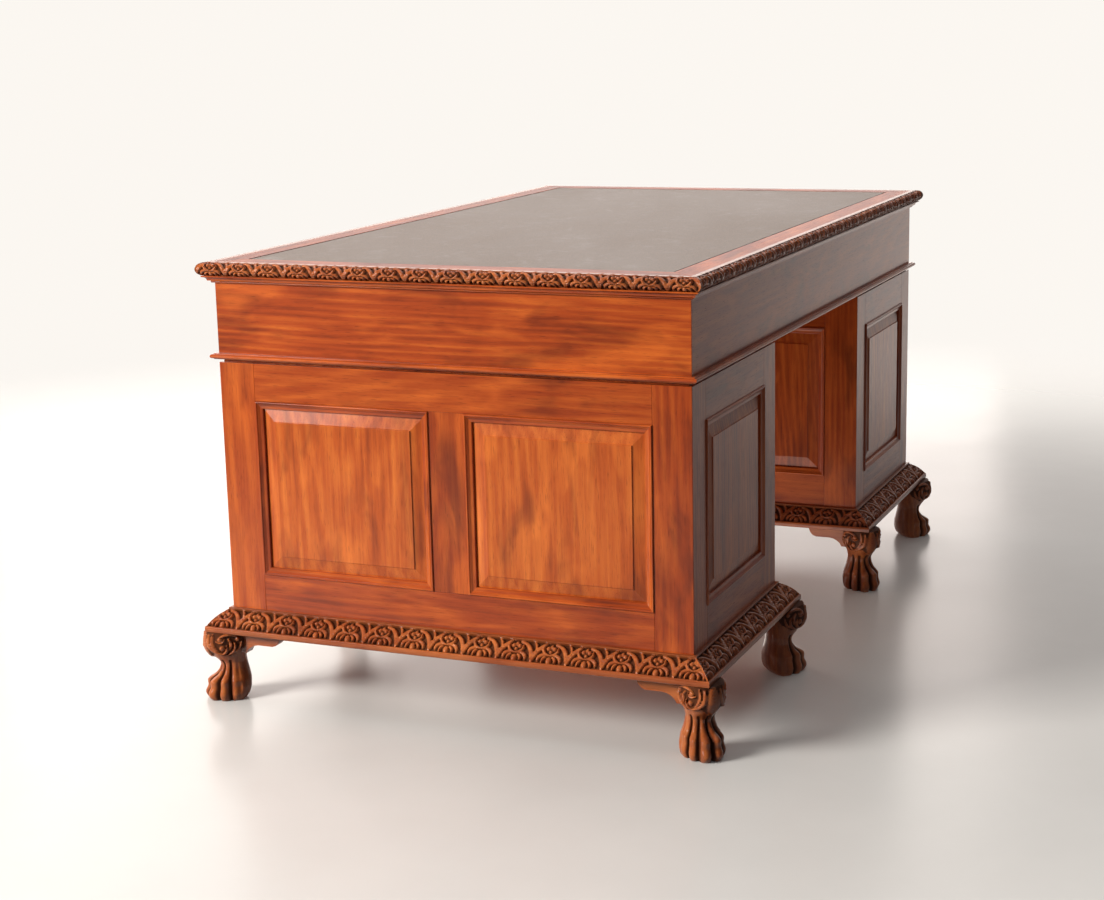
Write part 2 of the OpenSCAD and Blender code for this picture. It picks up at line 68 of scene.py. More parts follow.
camera = bpy.data.objects.new("camera", bpy.data.cameras.new("camera"))
bpy.context.scene.collection.objects.link(camera)
bpy.context.scene.camera = camera
camera.data.lens = 66.1
camera.data.clip_end = 60
bpy.context.scene.view_settings.view_transform = "Standard"
camera_at = (3.690, 1.449, 1.188)
camera_yaw, camera_pitch, camera_roll = 0.4032, 0.2142, -0.0231
level = Vector((-math.cos(camera_yaw), -math.sin(camera_yaw), 0))
aim = level * math.cos(camera_pitch) - Vector((0, 0, math.sin(camera_pitch)))
right = Vector((-math.sin(camera_yaw), math.cos(camera_yaw), 0))
above = right.cross(aim)
side = right * math.cos(camera_roll) + above * math.sin(camera_roll)
camera.matrix_world = Matrix.Translation(camera_at) @ Matrix(
    (side, side.cross(aim), -aim)).transposed().to_4x4()


# ---- Studio ----
# A pale sealed floor with a soft gloss fades out to a white sweep. A wide lamp on the sitter's
# side lights the right end, a big soft window stands low past the left end, and the rest is fill.

class Wire:
    """One output in a node tree. Arithmetic on it adds the nodes that work it out."""

    def __init__(self, finish, socket):
        self.finish, self.socket = finish, socket

    def __add__(self, other):
        return self.finish.work("ADD", self, other)

    def __radd__(self, other):
        return self.finish.work("ADD", other, self)

    def __sub__(self, other):
        return self.finish.work("SUBTRACT", self, other)

    def __rsub__(self, other):
        return self.finish.work("SUBTRACT", other, self)

    def __mul__(self, other):
        return self.finish.work("MULTIPLY", self, other)


    def __pow__(self, other):
        return self.finish.work("POWER", self, other)


class Finish:
    """The node tree of a material or of the studio's surroundings."""

    def __init__(self, owner):
        owner.use_nodes = True
        self.owner, self.tree = owner, owner.node_tree
        self.tree.nodes.clear()

    def node(self, kind, settings=None, values=None, output=0):
        """Adds a node, sets it up, feeds its sockets, and gives one of its outputs."""
        node = self.tree.nodes.new("ShaderNode" + kind)
        for name, value in (settings or {}).items():
            if name == "stops":
                stops = node.color_ramp.elements
                stops.remove(stops[1])
                stops[0].position, stops[0].color = value[0][0], (*value[0][1], 1)
                for place, colour in value[1:]:
                    stops.new(place).color = (*colour, 1)
            else:
                setattr(node, name, value)
        for name, value in (values or {}).items():
            socket = node.inputs[name]
            if isinstance(value, Wire):
                self.tree.links.new(value.socket, socket)
            elif socket.type == "RGBA":
                socket.default_value = (*value, 1)
            elif socket.type == "VECTOR" and not isinstance(value, tuple):
                socket.default_value = (value, value, value)
            else:
                socket.default_value = value
        return Wire(self, node.outputs[output]) if node.outputs else None

    def work(self, operation, *values):
        """A sum of numbers, or of vectors where one of the values is a vector."""
        vectors = [v for v in values
                   if isinstance(v, tuple) or isinstance(v, Wire) and v.socket.type == "VECTOR"]
        return self.node("VectorMath" if vectors else "Math", {"operation": operation},
                         dict(enumerate(values)))

    def mix(self, first, second, share, how="MIX"):
        """Two colours mixed, with share from 0 for the first to 1 for the second."""
        return self.node("Mix", {"data_type": "RGBA", "blend_type": how},
                         {0: share, 6: first, 7: second}, 2)

    def clouds(self, place, detail=3.0, rough=0.55, warp=0.0):
        """Soft noise from 0 to 1 at a place given in its own spacing."""
        return self.node("TexNoise", {}, {"Vector": place, "Scale": 1.0, "Detail": detail,
                                          "Roughness": rough, "Distortion": warp})

    def step(self, value, low, high):
        """Rises smoothly from 0 to 1 as value goes from low to high."""
        return self.node("MapRange", {"interpolation_type": "SMOOTHSTEP"},
                         {"Value": value, "From Min": low, "From Max": high})

    def surface(self, **values):
        """Ends a material in one coated shader."""
        named = {name.replace("_", " ").title().replace("Ior", "IOR"): value
                 for name, value in values.items()}
        shader = self.node("BsdfPrincipled", {}, named)
        self.node("OutputMaterial", {}, {"Surface": shader})
        return self.owner


def new_piece(name, points, faces, finish):
    """Puts a mesh of points and faces in the scene, with its finish."""
    mesh = bpy.data.meshes.new(name)
    mesh.from_pydata(points, [], faces)
    mesh.materials.append(finish)
    piece = bpy.data.objects.new(name, mesh)
    bpy.context.scene.collection.objects.link(piece)
    return piece


sealed = Finish(bpy.data.materials.new("sealed_floor"))
ground = sealed.node("TexCoord", output="Object")
distance = sealed.node("VectorMath", {"operation": "LENGTH"}, {0: ground}, 1)
fade_and_glow = sealed.step(distance, 1.3, 3.6)
scuffs = sealed.clouds(ground * 5.0, 4.0)
ripple = sealed.node("Bump", {}, {"Strength": 0.1, "Distance": 0.02,
                                  "Height": sealed.clouds(ground * 2.2, 2.0)})
# The floor also glows through its emission, weakly near the desk and more as it fades out: a painted
# glow that stands in for light on the far floor.
sealed_floor = sealed.surface(
    base_color=sealed.mix(sealed.mix((0.59, 0.585, 0.575), (0.64, 0.635, 0.625), scuffs),
                          (0.86, 0.83, 0.79), fade_and_glow),
    emission_color=sealed.mix((0.02, 0.02, 0.02), (0.30, 0.285, 0.265), fade_and_glow),
    roughness=scuffs * 0.10 + 0.19, normal=ripple, specular_ior_level=0.2,
    emission_strength=1.0, alpha=1 - fade_and_glow)
floor_reach, floor_turns = 16.0, 96
rim_angle = np.linspace(0, 2 * np.pi, floor_turns, endpoint=False)
rim = np.stack([floor_reach * np.cos(rim_angle), floor_reach * np.sin(rim_angle), 0 * rim_angle], 1)
floor = new_piece("floor", rim.tolist(), [list(range(floor_turns))], sealed_floor)
floor.visible_diffuse = False

world = bpy.data.worlds.new("studio")
bpy.context.scene.world = world
sweep = Finish(world)
heading = sweep.node("TexCoord", output="Generated")
headings = sweep.node("SeparateXYZ", {}, {0: heading}).socket.node.outputs
east, north, up = (Wire(sweep, part) for part in headings)
behind = sweep.step(east, 0.3, -0.4)
bright = sweep.step(north, 0.36, 0.05) * behind * sweep.step(up, -0.35, 0.0)
band = (sweep.step(north, 0.335, 0.19) * sweep.step(north, -0.1, 0.1) * behind
        * sweep.step(up, 0.05, -0.03))
fill = sweep.mix((0.09, 0.085, 0.08), (0.80, 0.75, 0.71), bright)
fill = sweep.mix(fill, (1.6, 1.4, 1.28), band)
seen = sweep.node("LightPath", output="Is Camera Ray")
sweep.node("OutputWorld", {}, {"Surface": sweep.node("Background", {}, {
    "Color": sweep.mix(fill, (0.97, 0.93, 0.88), seen), "Strength": 1.0})})


def lamp(name, place, target, size, power, colour, glossy=True):
    """A soft rectangular lamp that faces its target and isn't seen itself."""
    light = bpy.data.lights.new(name, "AREA")
    light.shape, light.size, light.size_y = "RECTANGLE", size[0], size[1]
    light.energy, light.color = power, colour
    stand = bpy.data.objects.new(name, light)
    bpy.context.scene.collection.objects.link(stand)
    stand.location = place
    stand.rotation_euler = (Vector(target) - Vector(place)).to_track_quat("-Z", "Y").to_euler()
    stand.visible_camera = False
    stand.visible_glossy = glossy


lamp("end_lamp", (4.3, -3.4, 2.5), (0.6, 0, 0.4), (2.1, 1.7), 430, (1.0, 0.95, 0.88), False)
lamp("end_glint", (3.6, -2.6, 1.5), (0.7, 0, 0.4), (1.6, 1.2), 55, (1.0, 0.97, 0.94))
lamp("sitter_lamp", (-0.6, -4.2, 3.0), (0, 0, 0.5), (3.4, 1.6), 46, (1.0, 0.97, 0.93))
lamp("window", (-5.2, -2.6, 1.7), (0, 0, 0.8), (5.0, 2.4), 84, (1.0, 0.90, 0.84))
lamp("overhead", (0, 0.2, 4.2), (0, 0, 0), (4.0, 3.0), 45, (1.0, 0.98, 0.96))
lamp("kneehole_fill", (0, 0.05, 0.02), (0, 0.05, 1), (0.42, 0.8), 1.9, (1.0, 0.93, 0.85))


# ---- Mahogany ----
# The show wood is a reddish-brown mahogany, planed, stained and lacquered to a satin gloss.
# Its figure has streaks, ribbons, wide growth rings, dark and pale patches and fine open pores.

def wood(name, shades, along=None, carved=False, gloss=0.34, coat=0.36):
    """A lacquered timber in a dark, a middle and a pale shade. Its grain runs along X, Y or Z,
    or follows each board's own grain values. A carved one gets painted shade: where the carving is
    low, in its grooves, it darkens towards near black."""
    dark, middle, pale = shades
    finish = Finish(bpy.data.materials.new(name))
    if along is None:
        grain = finish.node("Attribute", {"attribute_name": "grain"}, output="Vector")
        tone = finish.node("Attribute", {"attribute_name": "tone"}, output="Fac")
    else:
        place = finish.node("SeparateXYZ", {}, {0: finish.node("TexCoord", output="Object")})
        axes = [Wire(finish, part) for part in place.socket.node.outputs]
        order = {"X": (0, 2, 1), "Y": (1, 2, 0), "Z": (2, 0, 1)}[along]
        grain = finish.node("CombineXYZ", {}, {i: axes[axis] for i, axis in enumerate(order)})
        tone = finish.clouds(grain * 1.3, 0.0)
    parts = finish.node("SeparateXYZ", {}, {0: grain}).socket.node.outputs
    run, across, deep = (Wire(finish, part) for part in parts)
    wander = finish.clouds(grain * (1.7, 7.0, 7.0), 2.0)
    far = across + (wander - 0.5) * 0.05
    down = deep + run * 0.04 + (finish.clouds(grain * (0.9, 3.0, 3.0), 1.0) - 0.5) * 0.07
    radius = (far * far + down * down) ** 0.5
    rings = finish.work("SINE", radius * 620.0 + wander * 9.0) * 0.5 + 0.5
    streaks = finish.clouds(grain * (5.0, 130.0, 130.0), 4.0, 0.6, 0.4)
    ribbons = finish.clouds(grain * (2.2, 26.0, 26.0), 2.0, 0.5, 0.6)
    patches = finish.clouds(grain * (5.5, 9.0, 9.0), 2.0, 0.5, 0.8)
    figure = (rings ** 1.6 * 0.10 + streaks * 0.50 + ribbons * 0.30 + patches * 0.34
              + tone * 0.16 - 0.20)
    palest = tuple(1.3 * c for c in pale)
    shade_stops = [(0.18, dark), (0.44, middle), (0.72, pale), (1.0, palest)]
    colour = finish.node("ValToRGB", {"stops": shade_stops}, {0: figure})
    stain = finish.step(finish.clouds(grain * (6.0, 17.0, 17.0) + 3.7, 3.0, 0.55, 0.5), 0.50, 0.76)
    glow = finish.step(finish.clouds(grain * (8.0, 24.0, 24.0) - 5.1, 2.0, 0.5, 0.4), 0.52, 0.74)
    colour = finish.mix(colour, tuple(1.25 * c for c in pale), glow * 0.42)
    colour = finish.mix(colour, tuple(0.8 * c for c in dark), stain * 0.62)
    pores = finish.step(finish.clouds(grain * (45.0, 1300.0, 1300.0), 1.0), 0.60, 0.74)
    colour = finish.mix(colour, tuple(0.3 * c for c in dark), pores * 0.5)
    rough = gloss + patches * 0.08 + pores * 0.2
    shine = coat + patches * 0.1
    if carved:
        relief = finish.node("Attribute", {"attribute_name": "relief"}, output="Fac")
        unshaded_crowns = finish.step(relief, 0.08, 0.75)
        # Painted shade: the grooves, where the carving is low, are darkened towards near black, and
        # the crowns keep their colour.
        colour = finish.mix(finish.mix(colour, (0.012, 0.005, 0.003), 0.82), colour, unshaded_crowns)
        rough = rough + (1 - unshaded_crowns) * 0.3
        shine = shine * unshaded_crowns
    bump = finish.node("Bump", {}, {"Strength": 0.12, "Distance": 0.0003,
                                    "Height": streaks * 0.6 - pores})
    return finish.surface(base_color=colour, roughness=rough, normal=bump,
                          coat_weight=shine, coat_roughness=0.13, specular_ior_level=0.28)


case_shades = [(0.11, 0.014, 0.004), (0.34, 0.051, 0.008), (0.56, 0.125, 0.018)]
frame_shades = [(0.10, 0.012, 0.004), (0.30, 0.044, 0.007), (0.50, 0.105, 0.016)]
panel_shades = [(0.16, 0.022, 0.005), (0.42, 0.078, 0.012), (0.62, 0.165, 0.028)]
carved_shades = [(0.13, 0.024, 0.008), (0.31, 0.068, 0.017), (0.47, 0.14, 0.036)]
timber_shades = [(0.30, 0.155, 0.07), (0.47, 0.28, 0.13), (0.62, 0.41, 0.21)]
mahogany = wood("mahogany", case_shades)
frame_mahogany = wood("frame_mahogany", frame_shades)
panel_mahogany = wood("panel_mahogany", panel_shades)
border_mahogany = wood("border_mahogany", frame_shades, gloss=0.5, coat=0.06)
carved_mahogany = wood("carved_mahogany", carved_shades, carved=True, gloss=0.33, coat=0.45)
rail_mahogany = wood("rail_mahogany", case_shades, along="X")
upright_mahogany = wood("upright_mahogany", case_shades, along="Z")
plain_timber = wood("plain_timber", timber_shades, along="Y", gloss=0.5, coat=0.05)


# ---- Top border ----
# Four mitred boards of mahogany run round the leather, flush with it, and a thick board lies
# under the leather. A hairline joint shows at each mitre.

chance = np.random.default_rng(1524)


def squared(low, high):
    """The corners and faces of a squared block between two opposite corners."""
    corners = [(x, y, z) for x in (low[0], high[0]) for y in (low[1], high[1])
               for z in (low[2], high[2])]
    return corners, [(0, 1, 3, 2), (4, 6, 7, 5), (0, 4, 5, 1), (2, 3, 7, 6),
                     (0, 2, 6, 4), (1, 5, 7, 3)]


class Stock:
    """Timber gathered into one mesh. Each board keeps its own stretch of grain and tone."""

    def __init__(self):
        self.points, self.faces, self.grain, self.tone, self.relief = [], [], [], [], []
        self.count = 0

    def add(self, points, faces, along, across, relief=None):
        """Adds a board whose grain runs along one direction and whose width is across."""
        points = np.asarray(points, float)
        turned = np.array([along, across, np.cross(along, across)], float)
        log = chance.uniform((-9, -0.09, 0.03), (9, 0.09, 0.12))
        self.grain.append((points - points.mean(0)) @ turned.T + log)
        self.tone.append(np.full(len(points), chance.uniform()))
        # Each point's carving value also sets the painted shade of a carved finish; plain boards get
        # 1, which leaves them unshaded.
        self.relief.append(np.ones(len(points)) if relief is None else np.ravel(relief))
        self.faces += [[self.count + i for i in face] for face in faces]
        self.points.append(points)
        self.count += len(points)

    def block(self, low, high, along):
        """A squared board between two opposite corners, with its grain along axis 0, 1 or 2."""
        size = np.subtract(high, low)
        wide = max((i for i in range(3) if i != along), key=lambda i: size[i])
        self.add(*squared(low, high), np.eye(3)[along], np.eye(3)[wide])

    def upright(self, outline, low, high, along, across):
        """A board with a drawn outline in plan, between two heights."""
        n = len(outline)
        points = [(*p, z) for z in (low, high) for p in outline]
        sides = [(i, (i + 1) % n, n + (i + 1) % n, n + i) for i in range(n)]
        self.add(points, [tuple(range(n))[::-1], tuple(range(n, 2 * n)), *sides], along, across)

    def build(self, name, finish, body, slot, nodes=(), ease=0.0, smooth=False):
        """Makes the piece: its finish, eased edges, the body it rides on and what it stands for."""
        piece = new_piece(name, np.concatenate(self.points).tolist(), self.faces, finish)
        for label, kind, data in (("grain", "FLOAT_VECTOR", self.grain),
                                  ("tone", "FLOAT", self.tone), ("relief", "FLOAT", self.relief)):
            values = piece.data.attributes.new(label, kind, "POINT").data
            values.foreach_set("vector" if kind == "FLOAT_VECTOR" else "value",
                               np.concatenate(data).astype(np.float32).ravel())
        if smooth:
            piece.data.shade_smooth()
            piece.data.set_sharp_from_angle(angle=math.radians(62))
        if ease:
            bevel = piece.modifiers.new("eased_edges", "BEVEL")
            bevel.width, bevel.segments, bevel.limit_method = ease, 2, "ANGLE"
            bevel.angle_limit = math.radians(35)
        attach(piece, body)
        if nodes:
            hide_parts(*nodes)
        return piece


top_low, top_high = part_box("top_board")
leather_low, leather_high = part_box("leather_inset")
joint = 0.15 * MM
hide_x, hide_y = leather_high.x + 0.5 * MM, leather_high.y + 0.5 * MM
top = Stock()
top.block((-hide_x, -hide_y, top_low.z), (hide_x, hide_y, leather_low.z - joint), 0)
for s in (-1, 1):
    top.upright([(-top_high.x + joint, s * top_high.y), (top_high.x - joint, s * top_high.y),
                 (hide_x - joint, s * hide_y), (-hide_x + joint, s * hide_y)][::-s],
                top_low.z, top_high.z, (1, 0, 0), (0, 1, 0))
    top.upright([(s * top_high.x, -top_high.y + joint), (s * top_high.x, top_high.y - joint),
                 (s * hide_x, hide_y - joint), (s * hide_x, -hide_y + joint)][::s],
                top_low.z, top_high.z, (0, 1, 0), (1, 0, 0))
top.build("top_border", border_mahogany, "desk", "mahogany", ["top_board"], ease=0.3 * MM)


# ---- Leather ----
# One skin of dark grey-brown desk leather lies in the top's recess, glued down. Its edge is
# pared thin and darkened with painted shade for the gap round it, and the skin is a little rubbed.

def sides_of(half, axes):
    """The four sides of a rectangle: outward and forward directions, standoff, half length."""
    e1, e2 = np.array(axes[0], float), np.array(axes[1], float)
    return [(e1, e2, half[0], half[1]), (e2, -e1, half[1], half[0]),
            (-e1, -e2, half[0], half[1]), (-e2, e1, half[1], half[0])]


def grid_faces(rows, columns):
    """Faces of a sheet of points in rows and columns."""
    first = (np.arange(rows - 1)[:, None] * columns + np.arange(columns - 1)).ravel()
    return np.stack([first, first + 1, first + columns + 1, first + columns], 1).tolist()


def mitred(stock, centre, half, axes, section):
    """Four mitred lengths round a rectangle, of a section given as (outwards, upwards)."""
    section = np.array(section, float)
    for outward, forward, stand, length in sides_of(half, axes):
        ends = np.array([-1.0, 1.0])[None, :, None]
        points = (np.array(centre) + outward * (stand + section[:, None, None, 0])
                  + forward * ends * (length + section[:, None, None, 0])
                  + np.array(axes[2], float) * section[:, None, None, 1])
        stock.add(points.reshape(-1, 3), grid_faces(len(section), 2), forward, outward)


hide = Finish(bpy.data.materials.new("desk_leather"))
skin = hide.node("TexCoord", output="Object")
pebble = hide.node("TexVoronoi", {"feature": "SMOOTH_F1"}, {
    "Vector": skin + hide.clouds(skin * 90.0, 2.0) * 0.004, "Scale": 520.0, "Smoothness": 0.4})
creases = hide.clouds(skin * 210.0, 4.0, 0.65)
rubbed = hide.clouds(skin * (2.2, 3.4, 1.0), 5.0, 0.6, 0.6)
faint = hide.step(hide.clouds(skin * 26.0, 3.0, 0.6, 1.2), 0.5, 0.8)
hide_colour = hide.mix((0.14, 0.095, 0.072), (0.235, 0.168, 0.13), rubbed)
hide_colour = hide.mix(hide_colour, (0.055, 0.043, 0.038), hide.step(pebble, 0.35, 0.75) * 0.6)
grained = hide.node("Bump", {}, {"Strength": 0.35, "Distance": 0.0005,
                                 "Height": creases * 0.5 - pebble})
# Painted shade for the gap round the skin: the outer few millimetres of the skin are darkened to near
# black and made rough.
edge_shade = 0.0
for axis, half in enumerate((leather_high.x, leather_high.y)):
    place = hide.node("SeparateXYZ", {}, {0: skin}).socket.node.outputs[axis]
    from_middle = hide.work("ABSOLUTE", Wire(hide, place))
    edge_shade = hide.step(from_middle, half - 3 * MM, half - 1.8 * MM) + edge_shade
hide_colour = hide.mix(hide_colour, (0.16, 0.14, 0.125), faint * 0.25)
desk_leather = hide.surface(base_color=hide.mix(hide_colour, (0.008, 0.006, 0.005), edge_shade),
                            roughness=0.44 + rubbed * 0.16 - faint * 0.06 + edge_shade * 0.5,
                            normal=grained, specular_ior_level=0.5)
leather_t = leather_high.z - leather_low.z
edge_band = 40 * MM
hide_edge = [(0, 0), (0, leather_t - 1.1 * MM), (-0.6 * MM, leather_t - 0.9 * MM),
             (-1.8 * MM, leather_t), (-edge_band, leather_t)]
leather = Stock()
mitred(leather, (0, 0, leather_low.z), (leather_high.x, leather_high.y), np.eye(3), hide_edge)
leather.block((-leather_high.x + edge_band, -leather_high.y + edge_band, leather_low.z),
              (leather_high.x - edge_band, leather_high.y - edge_band, leather_high.z), 0)
leather.build("leather_skin", desk_leather, "desk", "leather", ["leather_inset"])


# ---- Carved edge of the top ----
# A thick rounded edge is carved all round with leaves that cross in a V, curled flowers and
# small buds. Each side is one length of mahogany, mitred at the corners.

def bow(start, bend, end, steps=9):
    """Points on a smooth curve from start to end that leans towards bend."""
    t = np.linspace(0, 1, steps)[:, None]
    return (1 - t) ** 2 * np.array(start) + 2 * t * (1 - t) * np.array(bend) + t ** 2 * np.array(end)


def leaf(x, y, line, width, vein=0.0, height=1.0):
    """The rise of one carved leaf: a rounded ridge along a line, pointed at both ends."""
    rise = np.zeros_like(x)
    last = len(line) - 1
    for k in range(last):
        a, b = line[k], line[k + 1]
        step = b - a
        t = np.clip(((x - a[0]) * step[0] + (y - a[1]) * step[1]) / (step @ step), 0, 1)
        off = np.hypot(x - a[0] - t * step[0], y - a[1] - t * step[1])
        w = width * np.sin(np.pi * (0.10 + 0.80 * (k + t) / last)) ** 0.7
        ridge = np.sqrt(np.clip(1 - (off / w) ** 2, 0, 1))
        ridge -= vein * np.exp(-(off / (0.22 * w)) ** 2) * (ridge > 0)
        rise = np.maximum(rise, ridge * height)
    return rise


def ball(x, y, at, width, tall, height=1.0):
    """The rise of a carved bud or berry."""
    return height * np.sqrt(np.clip(1 - ((x - at[0]) / width) ** 2 - ((y - at[1]) / tall) ** 2, 0, 1))


pattern_l = 62.0


def leaf_and_flower(x, y):
    """The carving's rise over one repeat, 62 long by 42 high, with a V of leaves at x = 0."""
    rise = np.zeros_like(x)
    for shift in (-pattern_l, 0.0, pattern_l):
        u = x - shift
        for part in (
                leaf(u, y, bow((0, 0), (3, 24), (22, 42)), 5.2, vein=0.8),
                leaf(u, y, bow((0, 0), (-1, 37), (-25, 40)), 4.4, vein=0.3),
                leaf(u, y, bow((-2, 42), (5, 38), (5, 26)), 3.0, height=0.8),
                leaf(u, y, bow((31, 17), (15, 20), (19, 34), 12), 3.0),
                leaf(u, y, bow((31, 17), (47, 20), (43, 34), 12), 3.0),
                ball(u, y, (25.6, 31.5), 4.2, 4.6), ball(u, y, (36.4, 31.5), 4.2, 4.6),
                ball(u, y, (31, 36), 3.0, 5.5, 0.9), ball(u, y, (31, 24.5), 3.4, 4.2, 0.8),
                leaf(u, y, bow((26, 18), (11, 19), (11, 5)), 3.8, vein=0.4, height=0.92),
                leaf(u, y, bow((36, 18), (51, 19), (51, 5)), 3.8, vein=0.4, height=0.92),
                leaf(u, y, bow((26, 14), (18, 11), (20, 1)), 3.2),
                leaf(u, y, bow((36, 14), (44, 11), (42, 1)), 3.2),
                ball(u, y, (31, 7), 5.6, 8.0)):
            rise = np.maximum(rise, part)
    return rise


def carved_ring(stock, centre, half, section, ladder, repeats, depth, fine):
    """Four carved, mitred lengths round a case. ladder gives each section point's height in the
    pattern, or a negative value where it is plain. repeats counts the pattern along the faces
    that look along X and along Y, and fine is the number of columns to one repeat."""
    section, ladder = np.array(section, float), np.array(ladder, float)
    slope = np.gradient(section, axis=0)
    normal = np.stack([slope[:, 1], -slope[:, 0]], 1)
    normal /= np.linalg.norm(normal, axis=1)[:, None] + 1e-12
    out_most = section[:, 0].max()
    plain = ladder[:, None] < 0
    # Painted shade on the plain rows: rows set back towards the wall get 0.5, which darkens and dulls
    # them a little; rows further out get 0.9.
    plain_row_shade = np.where(section[:, :1] < 0.6 * out_most, 0.5, 0.9)
    for number, (outward, forward, stand, length) in enumerate(sides_of(half, np.eye(3))):
        count = repeats[number % 2]
        whole = length + out_most
        s = np.linspace(-whole, whole, count * fine + 1)[None, :]
        u = (s + whole) / (2 * whole) * count % 1.0 * pattern_l
        rise = leaf_and_flower(np.broadcast_to(u, (len(section), s.size)),
                               np.broadcast_to(ladder[:, None], (len(section), s.size)))
        arris = (length + section[:, :1] - np.abs(s)) / (2.6 * MM)
        rise = np.maximum(rise, np.sqrt(np.clip(1 - arris ** 2, 0, 1)))
        drop = np.where(plain, 0.0, (rise - 1) * depth)
        out = section[:, :1] + normal[:, :1] * drop
        up = section[:, 1:] + normal[:, 1:] * drop
        s = np.clip(s, -(length + out), length + out)
        points = (np.array(centre) + outward * (stand + out)[..., None]
                  + forward * s[..., None] + np.array([0, 0, 1.0]) * up[..., None])
        # The rise is kept for each point and sets the painted shade in the carving's grooves.
        stock.add(points.reshape(-1, 3), grid_faces(*s.shape), forward, (0, 0, 1),
                  np.where(plain, plain_row_shade, rise))


edge_low, edge_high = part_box("edge_moulding")
case_x, case_y = top_high.x, top_high.y
thumb = (edge_high.z - edge_low.z) / 2
thumb_out = edge_high.x - case_x - thumb
bend = np.radians(np.linspace(-84, 96, 26))
edge_section = [(0, 0), (thumb_out - 2 * MM, 0), (thumb_out, 0.1 * MM)]
edge_section += [(thumb_out + thumb * math.cos(a), thumb + thumb * math.sin(a)) for a in bend]
edge_section += [(thumb_out - 2.4 * MM, 2 * thumb), (0, 2 * thumb)]
edge_ladder = [-1, -1, -1, *np.linspace(0.5, 41.5, len(bend)), -1, -1]
edge_repeats, edge_depth = (16, 27), 4.6 * MM
edge = Stock()
carved_ring(edge, (0, 0, edge_low.z), (case_x, case_y), edge_section, edge_ladder, edge_repeats,
            edge_depth, 30)
edge.build("carved_edge", carved_mahogany, "desk", "carved_mahogany", ["edge_moulding"],
           smooth=True)


# ---- Cove and middle bead ----
# Under the top runs a small cove between two fillets, and round the foot of the frieze runs a
# bead between two fillets. Both are planed in lengths and mitred.

def arc(middle, radius, start, end, steps=9):
    """Points on part of a circle, for a moulding's section."""
    a = np.radians(np.linspace(start, end, steps))
    return [(middle[0] + radius * math.cos(t), middle[1] + radius * math.sin(t)) for t in a]


cove_low, cove_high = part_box("cove_moulding")
cove_h, cove_out = cove_high.z - cove_low.z, cove_high.x - case_x
cove_section = [(0, 0), (3 * MM, 0), *arc((3.2 * MM, 1.9 * MM), 1.9 * MM, -80, 80),
                (3.4 * MM, 4.0 * MM), (4.6 * MM, 4.0 * MM),
                *arc((cove_out - 1.2 * MM, 4.2 * MM), 6.2 * MM, 180, 94),
                (cove_out - 1 * MM, 10.6 * MM), (cove_out, 10.8 * MM), (cove_out, cove_h - 0.3 * MM),
                (cove_out - 0.4 * MM, cove_h), (0, cove_h)]
cove = Stock()
mitred(cove, (0, 0, cove_low.z), (case_x, case_y), np.eye(3), cove_section)
cove.build("cove", mahogany, "desk", "carved_mahogany", ["cove_moulding"])
mid_low, mid_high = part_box("mid_moulding")
mid_h, mid_out, mid_bead = mid_high.z - mid_low.z, mid_high.x - case_x, 3.5 * MM
mid_section = [(0, 0), (mid_out - 5.4 * MM, 0), (mid_out - 5.2 * MM, 1.4 * MM),
               (mid_out - 3.6 * MM, 1.5 * MM),
               *arc((mid_out - mid_bead, mid_h / 2), mid_bead, -85, 85, 13),
               (mid_out - 3.6 * MM, mid_h - 1.5 * MM), (mid_out - 5.2 * MM, mid_h - 1.4 * MM),
               (mid_out - 5.4 * MM, mid_h), (0, mid_h)]
bead = Stock()
mitred(bead, (0, 0, mid_low.z), (case_x, case_y), np.eye(3), mid_section)
bead.build("middle_bead", mahogany, "desk", "carved_mahogany", ["mid_moulding"])


# ---- Frieze case ----
# Two end boards and a back board of wide mahogany, their grain level, mitred at the back
# corners. The drawer side has two rails and two dividers, and plain timber lies inside.

case_low, case_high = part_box("frieze_case")
wall = 22 * MM
case = Stock()
for s in (-1, 1):
    outside, inside = s * case_x, s * (case_x - wall)
    case.upright([(outside, -case_y), (outside, case_y - joint),
                  (inside, case_y - wall - joint), (inside, -case_y)][::s],
                 case_low.z, case_high.z, (0, 1, 0), (0, 0, 1))
case.upright([(case_x - joint, case_y), (-case_x + joint, case_y),
              (-case_x + wall + joint, case_y - wall), (case_x - wall - joint, case_y - wall)],
             case_low.z, case_high.z, (1, 0, 0), (0, 0, 1))
case.build("frieze_boards", mahogany, "desk", "mahogany", ["frieze_case"], ease=0.5 * MM)


def dress(node, finish, ease=0.5 * MM):
    """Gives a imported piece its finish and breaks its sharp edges."""
    piece = frame["nodes"][node]
    piece.data.materials.clear()
    piece.data.materials.append(finish)
    weld = piece.modifiers.new("closed_corners", "WELD")
    weld.merge_threshold = 0.01 * MM
    bevel = piece.modifiers.new("eased_edges", "BEVEL")
    bevel.width, bevel.segments, bevel.limit_method = ease, 2, "ANGLE"
    bevel.angle_limit = math.radians(35)
    bevel.use_clamp_overlap = True


dress("frieze_front_rails", rail_mahogany)
dress("frieze_dividers", upright_mahogany)
dress("frieze_floor", plain_timber)
dress("glue_blocks", plain_timber)


# ---- Pedestal frames and panels ----
# Each pedestal has framed sides and back: mortised stiles, rails and a muntin round raised
# and fielded panels that float in grooves, with a small bead moulding planted round each.

stile_w, muntin_w = 67 * MM, 65 * MM
bead_w, margin_d, slope_w, field_step = 14 * MM, 6 * MM, 21.5 * MM, 1.5 * MM
panel_bead = [(-bead_w, -margin_d), (-13.6 * MM, -2.2 * MM), (-12.6 * MM, -1.5 * MM),
              (-11 * MM, -1.3 * MM), (-8.4 * MM, -0.8 * MM), (-6.4 * MM, 0.5 * MM),
              (-5 * MM, 1.5 * MM), (-4.5 * MM, 1.1 * MM), *arc((-2.2 * MM, 0.9 * MM), 2 * MM, 170, 0),
              (0, 0.4 * MM), (0, 0)]


